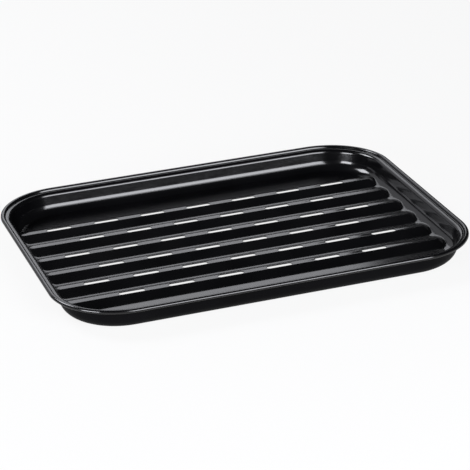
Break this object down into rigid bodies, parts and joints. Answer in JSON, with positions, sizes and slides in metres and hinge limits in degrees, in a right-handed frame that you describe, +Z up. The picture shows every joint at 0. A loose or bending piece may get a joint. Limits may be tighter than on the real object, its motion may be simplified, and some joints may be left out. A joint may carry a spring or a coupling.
{
  "type": "grill tray",
  "caption": "Shallow rectangular black enamelled steel grill tray with round corners, a rolled rim and raised ribs whose crests are slotted to let fat drain.",
  "frame": {"origin": "middle of the tray's length and width, on the flat plane under the floor that the tray stands on", "axes": "+X along the longer side and along the ribs, +Y across the tray to its far long side, +Z up towards the rim"},
  "size_m": [0.34, 0.26, 0.0201],
  "materials": {
    "enamel": "glossy black vitreous enamel on sheet steel"
  },
  "bodies": {
    "root": {"grill_tray": "enamel"}
  },
  "joints": []
}
